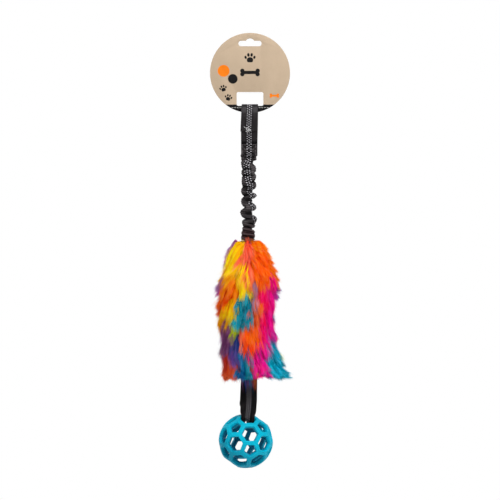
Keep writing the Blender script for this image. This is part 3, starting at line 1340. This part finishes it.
def makeCard():
    bpy.ops.mesh.primitive_cylinder_add(
        vertices=192, radius=card["radius"], depth=card["thick"],
        location=(0, 0, card["middle"]), rotation=(pi / 2, 0, 0),
    )
    piece = named("tagCard")
    settle(piece)
    wide, high, rise = card["slot"]
    winWide, winHigh, corner, low = card["window"]
    window = cutterBox(winWide, winHigh, low + winHigh / 2, corner)
    slot = cutterBox(wide, high, -rise - high / 2, high / 2 - 0.01 * mm)
    combine(slot, "UNION", cutterOval(*card["arch"]))
    combine(piece, "DIFFERENCE", window)
    combine(piece, "DIFFERENCE", slot)
    bevelEdges(piece, card["edge"], 50)
    applyAll(piece)
    bpy.ops.object.shade_smooth_by_angle(angle=radians(35))
    wear(piece, cardFinish())
    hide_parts("hang_tag")
    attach(piece, "tag")
    print("card:", len(piece.data.polygons), "faces")


# The printed design, of the maker's own: paw prints, a bone, plain dots and a black foot.
printed = {
    "footTop": -82.6,
    # x, z, size and turn of each paw, and the x, z, half width, half height and lean of its pads
    "paws": ((0.0, -24.5, 7.6, 0.0), (-33.5, -62.5, 5.2, 18.0), (-27.0, -74.0, 5.2, -14.0)),
    "pads": (
        (0, -0.28, 0.52, 0.42, 0), (-0.24, -0.42, 0.26, 0.28, 0), (0.24, -0.42, 0.26, 0.28, 0),
        (-0.72, 0.12, 0.19, 0.27, 18), (-0.27, 0.52, 0.20, 0.30, 6),
        (0.27, 0.52, 0.20, 0.30, -6), (0.72, 0.12, 0.19, 0.27, -18),
    ),
    "bone": (0.0, -42.5, 24.0, 5.4),
    "smallBone": (30.5, -71.5, 11.5, 3.0),
    "dots": ((-33.0, -40.5, 7.4, "orange"), (-21.5, -50.5, 6.0, "black")),
    "dashes": (-86.4, 24.5, 3.4),  # height, half length of the line, and from dash to dash
}


def cardFinish():
    finish = Finish("kraft card", Specular_IOR_Level=0.18)
    where = finish.places()
    x, y, z = finish.axes(where)
    flat = finish.node("CombineXYZ", None, {0: x, 1: 0.0, 2: z})
    clouds = finish.noise(flat, 0.07, 3)
    fibre = finish.noise(finish.stretched(flat, (1.0, 1.0, 2.6)), 0.9, 5, 0.65)
    fleck = finish.noise(finish.stretched(flat, (0.8, 1.0, 1.7)), 1.15, 2)
    shade = finish.mix(clouds, colour(186, 164, 139), colour(197, 175, 150))
    shade = finish.mix(finish.step(fibre, 0.42, 0.72) * 0.35, shade, colour(208, 188, 164))
    shade = finish.mix(finish.step(fleck, 0.66, 0.73) * 0.55, shade, colour(150, 126, 100))

    def oval(cx, cz, rx, rz, turn=0.0):
        c, s = cos(radians(turn)), sin(radians(turn))
        dx, dz = x - cx, z - cz
        a, b = (dx * c + dz * s) / rx, (dz * c - dx * s) / rz
        soft = 0.18 / min(rx, rz)
        return finish.step(finish.far(a, b), 1 + soft, 1 - soft)

    def paw(cx, cz, size, turn):
        made = []
        c, s = cos(radians(turn)), sin(radians(turn))
        for px, pz, rx, rz, lean in printed["pads"]:
            made.append(oval(
                cx + size * (px * c - pz * s), cz + size * (px * s + pz * c),
                size * rx, size * rz, turn + lean))
        return finish.most(*made)

    def bone(cx, cz, length, height):
        end, knob = length / 2 - height * 0.45, height * 0.5
        bar = finish.step(abs(x - cx), end + 0.2, end) * finish.step(
            abs(z - cz), height * 0.36 + 0.2, height * 0.36)
        return finish.most(bar, *[
            oval(cx + sx * end, cz + sz * knob * 0.78, knob, knob)
            for sx in (-1, 1) for sz in (-1, 1)
        ])

    black, orange = colour(10, 9, 10), colour(247, 128, 20)
    ink = finish.step(z, printed["footTop"] + 0.2, printed["footTop"] - 0.2)
    ink = finish.most(ink, bone(*printed["bone"]), *[paw(*place) for place in printed["paws"]])
    spots = {"orange": [bone(*printed["smallBone"])], "black": []}
    for cx, cz, radius, name in printed["dots"]:
        spots[name].append(oval(cx, cz, radius, radius))
    front = finish.step(y, -0.25, -0.33)
    worn = 1 - finish.step(fibre, 0.60, 0.78) * 0.25
    shade = finish.mix(finish.most(*spots["orange"]) * front * worn, shade, orange)
    shade = finish.mix(finish.most(ink, *spots["black"]) * front * worn, shade, black)
    height, half, gap = printed["dashes"]
    dashes = abs(finish.math("FRACT", x / gap) - 0.5)
    line = finish.step(abs(z - height), 0.42, 0.22) * finish.step(dashes, 0.36, 0.30)
    line = line * finish.step(abs(x), half, half - 1) * front
    shade = finish.mix(line * 0.75, shade, colour(214, 212, 208))
    finish.bump(fibre * 0.6 + clouds * 0.4, 0.06 * mm, 0.5)
    return finish.into(Base_Color=shade, Roughness=0.68 + fibre * 0.2)


floor = {"height": -0.72, "size": 6.0, "fades": (300, 1100)}


def addFloor():
    # The camera sees the floor fade to white away from the toy; near it the shadow stays.
    bpy.ops.mesh.primitive_plane_add(size=floor["size"], location=(0, 0, floor["height"]))
    piece = bpy.context.object
    piece.name = "paleFloor"
    finish = Finish("pale floor", Roughness=0.9, Specular_IOR_Level=0.1)
    where = finish.places()
    speck = finish.noise(where, 0.02, 2)
    finish.into(Base_Color=finish.mix(speck, colour(236, 236, 234), colour(244, 244, 242)))
    x, y, _ = finish.axes(where)
    away = finish.step(finish.far(x, y), *floor["fades"])
    finish.showBoth(
        finish.seenPlainly() * (0.6 + away * 0.4), Flow(finish, finish.shader.outputs[0]),
        finish.node("Emission"), finish.tree.nodes["Material Output"],
    )
    wear(piece, finish.material)


def setWorld():
    # The camera sees plain white, and a much weaker white lights the toy.
    world = bpy.data.worlds.new("studio")
    bpy.context.scene.world = world
    world.use_nodes = True
    nodes = Nodes(world.node_tree)
    nodes.tree.nodes.clear()
    lit, white = (
        nodes.node("Background", None, {"Color": (1, 1, 1, 1), "Strength": strength})
        for strength in (0.22, 1.0)
    )
    end = nodes.tree.nodes.new("ShaderNodeOutputWorld")
    nodes.showBoth(nodes.seenPlainly(), lit, white, end)
    bpy.context.scene.view_settings.view_transform = "Standard"


def pileMaterial():
    finish = Finish("dyed pile", Specular_IOR_Level=0.06, Emission_Strength=0.06)
    dye = finish.attribute("dye", "Color")
    streak = finish.noise(finish.stretched(finish.places(), (1.0, 1.0, 0.15)), 0.9, 3)
    deeper = finish.mix(1.0, dye, dye, "MULTIPLY")
    shade = finish.mix(streak * 0.15, dye, deeper)
    return finish.into(Base_Color=shade, Emission_Color=shade, Roughness=0.6 + streak * 0.2)


addCamera()
addLamps()
setWorld()
addFloor()
print("camera, lamps and floor are in place")

gatheredFinish = webbingFinish("gathered webbing", colour(22, 20, 21), colour(70, 66, 68), (
    (-254, 26, colour(74, 34, 40), 0.45),
), folded=True)
pileFinish = pileMaterial()
makeCard()
makeHandle()
makeTuft()
makeHead()
makeCover()
makeTail()
makeElastic()
print("the upper half is made")
makeStrap()
makeBacking()
makeUndercoat()
makePile()
makeWisps()
makeBall()
makeStitches()
print("the toy is complete")
